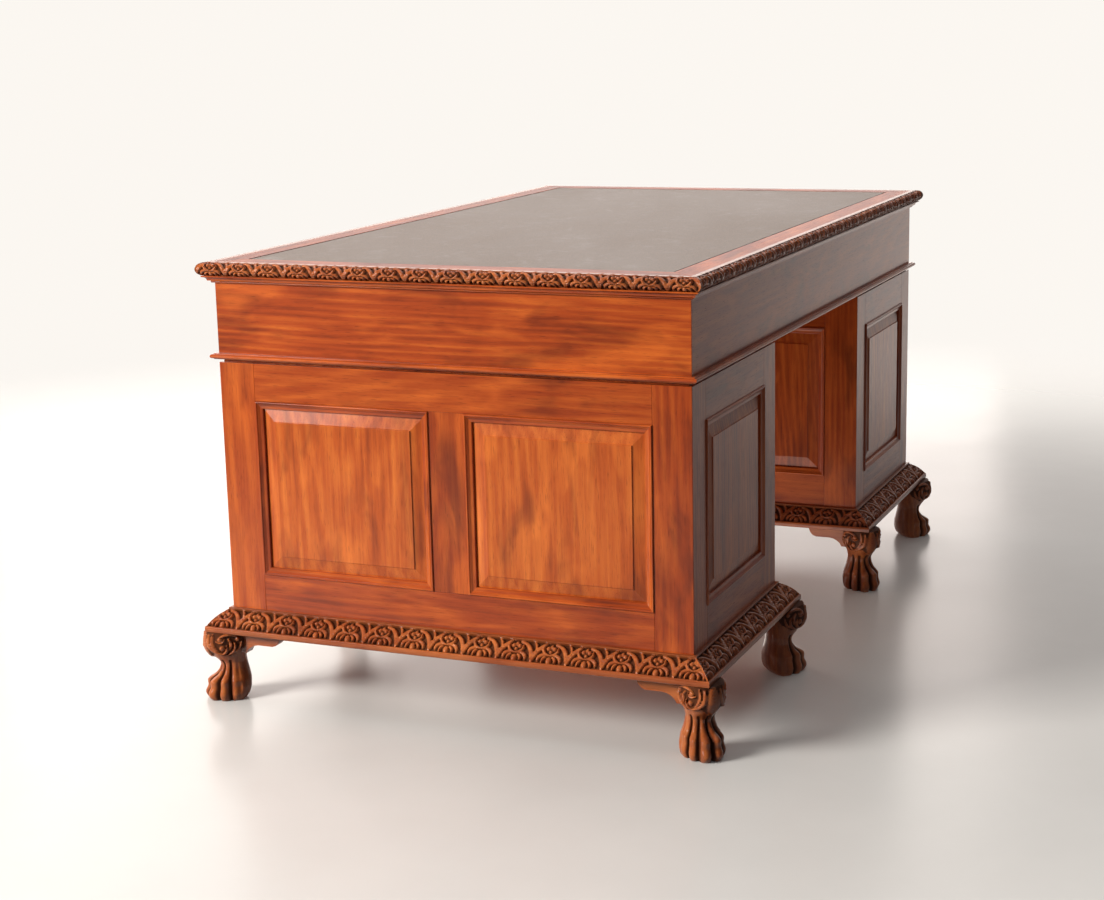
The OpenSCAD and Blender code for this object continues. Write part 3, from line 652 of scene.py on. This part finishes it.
def raised_panel(stock, centre, half, axes):
    """One panel: a flat margin, a sloping border, a small step and the raised field."""
    e1, e2, e3 = (np.array(a, float) for a in axes)
    steps = [(0.0, -margin_d), (bead_w + 0.5 * MM, -margin_d),
             (bead_w + slope_w - 0.6 * MM, -field_step - 0.3 * MM),
             (bead_w + slope_w, -field_step), (bead_w + slope_w + 0.3 * MM, -0.25 * MM),
             (bead_w + slope_w + 0.9 * MM, 0.0)]
    points = [np.array(centre) + e1 * a * (half[0] - i) + e2 * b * (half[1] - i) + e3 * h
              for i, h in steps for a, b in ((-1, -1), (1, -1), (1, 1), (-1, 1))]
    faces = [(4 * k + i, 4 * k + (i + 1) % 4, 4 * k + 4 + (i + 1) % 4, 4 * k + 4 + i)
             for k in range(len(steps) - 1) for i in range(4)]
    last = 4 * (len(steps) - 1)
    stock.add(points, faces + [(last, last + 1, last + 2, last + 3)], e2, e1)


for name, outwards in (("left", -1), ("right", 1)):
    low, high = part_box(name + "_frames")
    outer, inner = (high.x, low.x) if outwards > 0 else (low.x, high.x)
    panel_low, panel_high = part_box(name + "_panels")
    frames, panels, beads = Stock(), Stock(), Stock()
    for face, way in ((outer, outwards), (inner, -outwards)):
        back = face - way * wall
        x0, x1 = min(face, back), max(face, back)
        frames.block((x0, -case_y, low.z), (x1, -case_y + stile_w, high.z), 2)
        frames.upright([(face, case_y - stile_w), (face, case_y - joint),
                        (back, case_y - wall - joint), (back, case_y - stile_w)][::way],
                       low.z, high.z, (0, 0, 1), (0, 1, 0))
        for z0, z1 in ((low.z, panel_low.z), (panel_high.z, high.z)):
            frames.block((x0, -case_y + stile_w + joint, z0), (x1, case_y - stile_w - joint, z1), 1)
        frames.block((x0, -muntin_w / 2, panel_low.z + joint),
                     (x1, muntin_w / 2, panel_high.z - joint), 2)
    for face, way in ((outer, -outwards), (inner, outwards)):
        frames.upright([(face + way * joint, case_y), (face + way * stile_w, case_y),
                        (face + way * stile_w, case_y - wall),
                        (face + way * (wall + joint), case_y - wall)][::-way],
                       low.z, high.z, (0, 0, 1), (1, 0, 0))
    for z0, z1 in ((low.z, panel_low.z), (panel_high.z, high.z)):
        frames.block((low.x + stile_w + joint, case_y - wall, z0),
                     (high.x - stile_w - joint, case_y, z1), 0)
    frames.build(name + "_frame_boards", frame_mahogany, "desk", "mahogany", [name + "_frames"],
                 ease=0.6 * MM)
    half_z = (panel_high.z - panel_low.z) / 2
    half_y = (case_y - stile_w - muntin_w / 2) / 2
    half_x = (high.x - low.x) / 2 - stile_w
    middle_z = panel_low.z + half_z
    middle_y = muntin_w / 2 + half_y
    places = [((face, s * middle_y, middle_z), (half_y, half_z),
               ((0, way, 0), (0, 0, 1), (way, 0, 0)))
              for face, way in ((outer, outwards), (inner, -outwards)) for s in (-1, 1)]
    places.append((((low.x + high.x) / 2, case_y, middle_z), (half_x, half_z),
                   ((-1, 0, 0), (0, 0, 1), (0, 1, 0))))
    for centre, half, axes in places:
        raised_panel(panels, centre, half, axes)
        mitred(beads, centre, half, axes, panel_bead)
    panels.build(name + "_raised_panels", panel_mahogany, "desk", "mahogany", [name + "_panels"])
    beads.build(name + "_panel_beads", mahogany, "desk", "carved_mahogany",
                [name + "_panel_mouldings"])
    dress(name + "_boards", rail_mahogany)
    dress(name + "_drawer_rails", rail_mahogany)


# ---- Carved base mouldings ----
# Round the foot of each pedestal runs a broad sloping moulding with a plain lip below and a
# thin bead above. Its slope is carved like the top's edge, deeper and with a longer repeat.

lip_h, bead_out, belly = 10 * MM, 6 * MM, 1.8 * MM
slope = np.linspace(0, 1, 34)
base_ladder = [-1] * 6 + list(0.3 + 41.4 * slope) + [-1] * 8
base_repeats, base_depth = (15, 8), 5.2 * MM
for name in ("left", "right"):
    low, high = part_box(name + "_base_moulding")
    frame_low, frame_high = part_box(name + "_frames")
    lip_out, tall = high.y - case_y, high.z - low.z
    base_section = [(0, 0), (lip_out - 1.2 * MM, 0), (lip_out, 1.2 * MM),
                    (lip_out, lip_h - 1.2 * MM), (lip_out - 0.6 * MM, lip_h),
                    (lip_out - 2.2 * MM, lip_h + 0.2 * MM)]
    for t in slope:
        swell = belly * math.sin(math.pi * t)
        base_section.append((lip_out - 1.6 * MM - t * (lip_out - bead_out - 2 * MM) + swell,
                             lip_h + 0.4 * MM + t * (tall - lip_h - 3.4 * MM) + swell))
    base_section += [(bead_out - 0.6 * MM, tall - 2.6 * MM),
                     *arc((bead_out - 0.9 * MM, tall - 1.3 * MM), 1.25 * MM, -80, 90, 6), (0, tall)]
    base = Stock()
    middle_x = (frame_low.x + frame_high.x) / 2
    carved_ring(base, (middle_x, 0, low.z), ((frame_high.x - frame_low.x) / 2, case_y),
                base_section, base_ladder, base_repeats, base_depth, 34)
    base.build(name + "_carved_base", carved_mahogany, "desk", "carved_mahogany",
               [name + "_base_moulding"], smooth=True)


# ---- Paw feet ----
# Each foot is carved from one block: a leafy knee with scrolls under the base moulding, a
# narrow ankle, and a paw of ridged toes that points out of the corner, with a round heel. Two
# bracket wings stand beside it and a block behind. The paw itself is drawn in millimetres.

paw_turns, paw_rows = 132, 112
foot_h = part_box("right_feet")[1].z
heights = np.linspace(0, foot_h / MM, paw_rows)


def eased(knots):
    """A smooth line through (height, size) knots, in millimetres, at every row's height."""
    h, v = np.array(knots, float).T
    fine = np.interp(np.arange(-12, 140, 0.5), h, v)
    soft = np.convolve(np.pad(fine, 5, "edge"), np.hanning(11) / np.hanning(11).sum(), "valid")
    return np.interp(heights, np.arange(-12, 140, 0.5), soft)


toe_reach = eased([(0, 47), (4, 51), (9, 53), (15, 52), (21, 49.5), (28, 49.5), (34, 48), (39, 42),
                   (45, 32), (52, 26), (60, 23), (66, 24), (72, 29), (80, 37), (90, 44), (100, 48),
                   (112, 47), (127, 44)])
heel_reach = eased([(0, 14), (4, 20), (10, 25), (20, 28.5), (36, 29.5), (50, 27), (64, 24),
                    (76, 22.5), (90, 24), (110, 27), (127, 28)])
side_reach = eased([(0, 31), (4, 34), (12, 35.5), (24, 35), (36, 32.5), (46, 28), (56, 25),
                    (68, 23.5), (78, 26), (90, 30), (104, 32), (127, 32)])
squareness = 2.2
angle = np.linspace(-np.pi, np.pi, paw_turns, endpoint=False)[None, :]
fore_and_aft = np.where(np.cos(angle) > 0, toe_reach[:, None], heel_reach[:, None])
radius = ((np.abs(np.cos(angle)) / fore_and_aft) ** squareness
          + (np.abs(np.sin(angle)) / side_reach[:, None]) ** squareness) ** (-1 / squareness)
spread = np.degrees(np.abs(angle))
toe_edges = np.array([0, 31, 62, 98])
toes_end = toe_edges[-1]
toe = np.clip(np.searchsorted(toe_edges, spread, "right") - 1, 0, 2)
across_toe = (spread - toe_edges[toe]) / np.diff(toe_edges)[toe] * 2 - 1
valley = np.where(spread < toes_end, 1 - np.sqrt(np.clip(1 - across_toe ** 2, 0, 1)), 0.0)
valley = np.where((spread > 80) & (spread < toes_end), valley * (toes_end - spread) / 18, valley)
toe_depth = np.interp(heights, [0, 6, 30, 44, 60, 70, 76], [0.26, 0.32, 0.34, 0.33, 0.28, 0.14, 0])
knuckle = (np.exp(-((heights - 36) / 5) ** 2) * 1.2 + np.exp(-((heights - 12) / 6) ** 2)
           - np.exp(-((heights - 25) / 4) ** 2))
radius = radius * (1 - toe_depth[:, None] * valley)
radius = radius + knuckle[:, None] * (1 - valley) * (spread < toes_end)

knee_x = np.broadcast_to(np.radians(spread) * 40, radius.shape)
knee_z = np.broadcast_to(heights[:, None], radius.shape)
rib = 0.5 + 0.5 * np.sin((knee_z - knee_x * 0.9) * 1.25)
middle_leaf = leaf(knee_x, knee_z, bow((0, 124), (0, 100), (0, 77)), 10.5, height=0.95)
knee_rise = middle_leaf * (0.62 + 0.38 * rib)
for part in (
        leaf(knee_x, knee_z, bow((64, 118), (47, 129), (31, 119), 12), 3.0),
        ball(knee_x, knee_z, (63, 114.5), 4.4, 4.4), ball(knee_x, knee_z, (31, 115), 4.6, 4.6),
        leaf(knee_x, knee_z, bow((24, 112), (36, 104), (38, 116), 8), 1.8, height=0.8),
        leaf(knee_x, knee_z, bow((12, 122), (8, 92), (33, 87), 14), 3.4, vein=0.3),
        leaf(knee_x, knee_z, bow((33, 87), (45, 91), (42, 104), 9), 2.8),
        ball(knee_x, knee_z, (34, 98.5), 4.6, 5.4),
        leaf(knee_x, knee_z, bow((19, 124), (15, 104), (26, 93), 12), 2.5, height=0.85),
        leaf(knee_x, knee_z, bow((45, 116), (54, 108), (47, 96)), 3.2, vein=0.4),
        leaf(knee_x, knee_z, bow((56, 109), (61, 98), (50, 89)), 3.0),
        leaf(knee_x, knee_z, bow((70, 110), (69, 95), (56, 90)), 2.8, height=0.9),
        leaf(knee_x, knee_z, bow((64, 95), (52, 91), (42, 85)), 2.6, height=0.85)):
    knee_rise = np.maximum(knee_rise, part)
hem = np.interp(knee_x, [0, 10, 16, 26, 33, 40, 46, 58, 64, 76, 84, 92],
                [76, 82, 88, 86, 83, 84, 82, 88, 91, 96, 105, 128])
cap = np.clip((knee_z - hem) / 2.2, 0, 1)
cap = cap * cap * (3 - 2 * cap)
radius = radius + cap * (2.2 + 4.6 * knee_rise)
# Painted shade: the toe valleys and the low parts of the knee's carving get low values, which darken
# them in the carved finish.
toe_valley_shade = 1 - 2.6 * valley * (toe_depth[:, None] > 0.05)
foot_relief_shade = np.clip(np.where(cap > 0.1, 0.05 + knee_rise, toe_valley_shade), 0, 1)
paw_points = np.stack([radius * np.cos(angle), radius * np.sin(angle), knee_z], -1) * MM
paw_faces = grid_faces(paw_rows, paw_turns)
paw_faces += [[k + paw_turns - 1, k, k + paw_turns, k + 2 * paw_turns - 1]
              for k in range(0, (paw_rows - 1) * paw_turns, paw_turns)]
paw_faces += [list(range(paw_turns))[::-1],
              list(range((paw_rows - 1) * paw_turns, paw_rows * paw_turns))]
to_corner = np.array([[1, -1, 0], [1, 1, 0], [0, 0, math.sqrt(2)]]) / math.sqrt(2)
paw_points = paw_points.reshape(-1, 3) @ to_corner.T

wing_l, wing_h, wing_t, wing_out = 97 * MM, 24 * MM, 22 * MM, 10 * MM
paw_in_x, paw_out_y, block_in = 4 * MM, 8 * MM, 42 * MM
wing_foot = foot_h - wing_h
wing_root = wing_foot - 17 * MM
wing = [(-8 * MM, foot_h), (-wing_l, foot_h), (-wing_l + 1 * MM, foot_h - 9 * MM),
        (-wing_l + 4 * MM, foot_h - 16 * MM), (-wing_l + 9 * MM, foot_h - 21.5 * MM),
        (-wing_l + 16 * MM, wing_foot), (-52 * MM, wing_foot), (-44 * MM, wing_foot - 1.5 * MM),
        (-37 * MM, wing_foot - 5 * MM), (-31 * MM, wing_foot - 10 * MM), (-27 * MM, wing_root),
        (-8 * MM, wing_root)]
for name in ("left", "right"):
    frame_low, frame_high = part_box(name + "_frames")
    feet = Stock()
    for corner_x, sx in ((frame_low.x, -1), (frame_high.x, 1)):
        for sy in (-1, 1):
            flip = np.array([sx, sy, 1.0])
            here = np.array([corner_x, sy * case_y, 0.0])
            order = slice(None, None, sx * sy)

            def place(points):
                return np.asarray(points, float) * flip + here

            def turned(faces):
                return [list(face)[order] for face in faces]

            feet.add(place(paw_points + [-paw_in_x, paw_out_y, 0]), turned(paw_faces),
                     (0, 0, 1), (1, 0, 0), foot_relief_shade)
            n = len(wing)
            for swap in (False, True):
                points = [(u, wing_out - v, z) for v in (0, wing_t) for u, z in wing]
                faces = [tuple(range(n))[::-1], tuple(range(n, 2 * n))]
                faces += [(i, (i + 1) % n, n + (i + 1) % n, n + i) for i in range(n)]
                if swap:
                    points = [(y, x, z) for x, y, z in points]
                    faces = [f[::-1] for f in faces]
                feet.add(place(points), turned(faces), (0, 1, 0) if swap else (1, 0, 0), (0, 0, 1),
                         np.full(2 * n, 0.75))
            inner = wing_out - wing_t - 0.1 * MM
            low, high = place([(-block_in, -block_in, wing_foot), (inner, inner, foot_h)])
            feet.block(np.minimum(low, high), np.maximum(low, high), 2)
    feet.build(name + "_paw_feet", carved_mahogany, "desk", "mahogany", [name + "_feet"],
               smooth=True)


# ---- Drawers ----
# Each drawer has a mahogany front with a cock bead glued round it, and sides, back and bottom
# of plain pale timber that slide on runners.

drawers = [body for body in frame["bodies"] if body + "_front" in frame["nodes"]]
cock_bead = [(-3 * MM, 0), (-3 * MM, 0.8 * MM), *arc((-1.5 * MM, 0.6 * MM), 1.4 * MM, 170, 10),
             (0, 0.6 * MM), (0, 0)]
for drawer in drawers:
    low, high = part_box(drawer + "_front")
    face_board = Stock()
    face_board.block((low.x, -case_y, low.z), (high.x, high.y, high.z), 0)
    face_board.build(drawer + "_front_board", mahogany, drawer, "mahogany", [drawer + "_front"],
                     ease=0.5 * MM)
    trim = Stock()
    mitred(trim, ((low.x + high.x) / 2, -case_y, (low.z + high.z) / 2),
           ((high.x - low.x) / 2, (high.z - low.z) / 2), ((1, 0, 0), (0, 0, 1), (0, -1, 0)),
           cock_bead)
    trim.build(drawer + "_cock_bead", mahogany, drawer, "mahogany")
    dress(drawer + "_box", plain_timber)


# ---- Handles and keyholes ----
# Each front carries a cast brass plate with a swan-neck bail hung in two ball-headed posts, a
# small keyhole plate above, and a lock and two nuts behind. The brass is aged and lacquered.
# Outlines, profiles and the bail's line are in millimetres.

cast = Finish(bpy.data.materials.new("aged_brass"))
metal_at = cast.node("TexCoord", output="Object")
tarnish = cast.clouds(metal_at * 60.0, 4.0, 0.6)
specks = cast.step(cast.clouds(metal_at * 420.0, 3.0, 0.6), 0.55, 0.8)
rubs = cast.clouds(metal_at * (900.0, 120.0, 900.0), 2.0)
aged_brass = cast.surface(
    base_color=cast.mix(cast.mix((0.62, 0.42, 0.16), (0.36, 0.22, 0.08), tarnish),
                        (0.13, 0.075, 0.03), specks * 0.6),
    metallic=1.0, roughness=0.2 + tarnish * 0.22 + specks * 0.2,
    normal=cast.node("Bump", {}, {"Strength": 0.12, "Distance": 0.0003,
                                  "Height": rubs * 0.3 - specks}))
# A near-black sheet set in the keyhole is painted shade for the dark hole into the lock.
shadow = Finish(bpy.data.materials.new("keyhole_shade"))
keyhole_shade = shadow.surface(
    base_color=shadow.mix((0.004, 0.003, 0.002), (0.012, 0.008, 0.005),
                          shadow.clouds(shadow.node("TexCoord", output="Object") * 300.0)),
    roughness=0.9)


def plate(outline, thick, lip, hole=None, columns=60, rows=24):
    """A cast plate whose half height is drawn along its length, with a line sunk inside its rim."""
    xs, hs = np.array(outline, float).T * MM
    x = np.linspace(-xs[-1], xs[-1], columns)
    half = np.interp(np.abs(x), xs, hs)
    half = np.convolve(np.pad(half, 2, "edge"), [0.1, 0.2, 0.4, 0.2, 0.1], "valid")
    t = np.linspace(-1, 1, rows)
    z = t[:, None] * half[None, :]
    x = np.broadcast_to(x, z.shape)
    inset = np.minimum((1 - np.abs(t))[:, None] * half[None, :], (xs[-1] - np.abs(x)) * 1.5)
    rim_line = np.exp(-((inset - 2.6 * MM) / (0.7 * MM)) ** 2)
    rise = thick * np.sqrt(np.clip(inset / (1.2 * MM), 0, 1)) - lip * rim_line
    points = np.stack([x, -rise, z], -1).reshape(-1, 3)
    faces = grid_faces(*z.shape)
    if hole:
        inside = hole(points[:, 0], points[:, 2])
        faces = [f for f in faces if not all(inside[i] for i in f)]
    return points, faces


def tube_faces(rings, turns):
    """Faces of a closed tube of points in rings."""
    return [[k * turns + i, k * turns + (i + 1) % turns, (k + 1) * turns + (i + 1) % turns,
             (k + 1) * turns + i] for k in range(rings - 1) for i in range(turns)]


def lathe(profile, at, turns=20):
    """A turned piece about the drawer's depth, from (distance out, radius) steps."""
    a = np.linspace(0, 2 * np.pi, turns, endpoint=False)
    out, r = np.array(profile, float).T * MM
    depth = np.broadcast_to(-out[:, None], (len(r), turns))
    points = np.stack([at[0] + r[:, None] * np.cos(a), depth, at[1] + r[:, None] * np.sin(a)], -1)
    return points.reshape(-1, 3), tube_faces(len(r), turns)


def rod(line, radii, turns=14):
    """A bent round bar in an upright plane, with its own radius at each point."""
    line = np.array(line, float) * MM
    step = np.gradient(line, axis=0)
    step /= np.linalg.norm(step, axis=1)[:, None]
    aside = np.stack([-step[:, 1], step[:, 0]], 1)
    a = np.linspace(0, 2 * np.pi, turns, endpoint=False)
    r = np.array(radii, float)[:, None] * MM
    points = np.stack([line[:, :1] + aside[:, :1] * r * np.cos(a), r * np.sin(a),
                       line[:, 1:] + aside[:, 1:] * r * np.cos(a)], -1).reshape(-1, 3)
    ends = [list(range(turns))[::-1], list(range((len(line) - 1) * turns, len(line) * turns))]
    return points, tube_faces(len(line), turns) + ends


def brass_piece(name, shapes, place, body, nodes, finish=aged_brass):
    """Joins shapes into one brass piece at a place on a drawer front."""
    points, faces, count = [], [], 0
    for shape_points, shape_faces in shapes:
        points.append(np.asarray(shape_points) + np.array(place))
        faces += [[count + i for i in face] for face in shape_faces]
        count += len(shape_points)
    piece = new_piece(name, np.concatenate(points).tolist(), faces, finish)
    piece.data.shade_smooth()
    piece.data.set_sharp_from_angle(angle=math.radians(40))
    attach(piece, body)
    if nodes:
        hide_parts(*nodes)


def box_shape(low, high):
    """A squared block with its edges left crisp, from corners in millimetres."""
    corners, faces = squared(low, high)
    return np.array(corners) * MM, faces


def key_hole(x, z):
    """True inside the keyhole: a round head over a narrow slot."""
    return (np.hypot(x, z) < 2.1 * MM) | ((np.abs(x) < 0.9 * MM) & (z < 0) & (z > -6.2 * MM))


post_x, pivot_out, drop, front_t = 32, 14, 26, 20
post_profile = [(1.2, 6.6), (1.8, 6.5), (2.6, 5.6), (3.0, 4.4), (4.4, 3.5), (6.5, 3.0), (8.4, 3.1),
                (9.4, 3.9), (9.9, 4.3), (11, 4.6), (12.5, 5.2), (14, 5.4), (15.6, 5.2), (17.2, 4.3),
                (18.4, 2.6), (18.8, 1.4), (19.4, 1.1), (19.6, 0.1)]
nut_profile = [(-front_t, 0.1), (-front_t, 5.0), (-front_t - 3, 5.0), (-front_t - 3, 2.5),
               (-front_t - 5, 2.4), (-front_t - 5, 0.1)]
plate_outline = [(0, 23), (3, 20.5), (5, 18), (9, 16.5), (13, 14), (17, 11.2), (22, 10.4), (27, 11.4),
                 (32, 12.4), (37, 11.6), (41, 8.6), (44, 6.4), (47, 4.8), (49, 1.0)]
key_outline = [(0, 13), (1.5, 12.4), (3, 10.4), (5, 7.5), (7.2, 4.2), (8.2, 1.0)]
bail_half = [(33.0, 0), (36, 0), (39.6, -0.6), (41.4, -3.6), (41.4, -8), (39.4, -13), (35, -17.6),
             (28, -20.6), (20, -22.6), (13, -24.4), (7, -25.6), (3.4, -25.9), (1.8, -26), (0, -26)]
bail_radii = [1.5, 1.5, 2.0, 2.5, 2.8, 3.0, 2.8, 2.4, 2.3, 2.7, 3.1, 3.2, 4.0, 4.2]
bail_line = np.array(bail_half + [(-x, z) for x, z in bail_half[-2::-1]])
fine_steps = np.linspace(0, len(bail_line) - 1, 110)
bail_path = np.stack([np.interp(fine_steps, range(len(bail_line)), part) for part in bail_line.T], 1)
bail_size = np.interp(fine_steps, range(len(bail_line)), bail_radii + bail_radii[-2::-1])
kernel = np.hanning(9) / np.hanning(9).sum()
for axis in range(2):
    bail_path[4:-4, axis] = np.convolve(bail_path[:, axis], kernel, "valid")
key_down, bail_rim, lock_half_w, lock_half_h, lock_t = 17, 3, 22, 15, 8
for drawer in drawers:
    front_low, front_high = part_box(drawer + "_front")
    bail_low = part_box(drawer + "_bail")[0]
    middle = (front_low.x + front_high.x) / 2
    pivot_z = bail_low.z + (drop + bail_rim) * MM
    key_z = front_high.z - key_down * MM
    up_to_key = np.array([0, 0, key_z - pivot_z])
    shapes = [plate(plate_outline, 1.5 * MM, 0.5 * MM)]
    shapes += [lathe(post_profile, (s * post_x * MM, 0)) for s in (-1, 1)]
    shapes += [lathe(nut_profile, (s * post_x * MM, 0), 6) for s in (-1, 1)]
    key_plate, key_plate_faces = plate(key_outline, 1.2 * MM, 0.25 * MM, key_hole, 44, 68)
    shapes.append((key_plate + up_to_key, key_plate_faces))
    lock, lock_faces = box_shape((-lock_half_w, front_t, -lock_half_h),
                                 (lock_half_w, front_t + lock_t, lock_half_h))
    shapes.append((lock + up_to_key, lock_faces))
    brass_piece(drawer + "_plates", shapes, (middle, -case_y, pivot_z), drawer,
                [drawer + "_fittings"])
    # The near-black head and slot in the keyhole are painted shade.
    dark_head = plate([(0, 3), (2.4, 2.6), (2.6, 0.4)], 0.06 * MM, 0)
    dark_slot = box_shape((-1.1, -0.06, -6.6), (1.1, 0.3, 0))
    brass_piece(drawer + "_keyhole", [dark_head, dark_slot], (middle, -case_y, key_z), drawer, [],
                keyhole_shade)
    brass_piece(drawer + "_bail_handle", [rod(bail_path, bail_size)],
                (middle, -case_y - pivot_out * MM, pivot_z), drawer + "_handle", [drawer + "_bail"])


# ---- Last update ----
# The view layer is brought up to date.

bpy.context.view_layer.update()
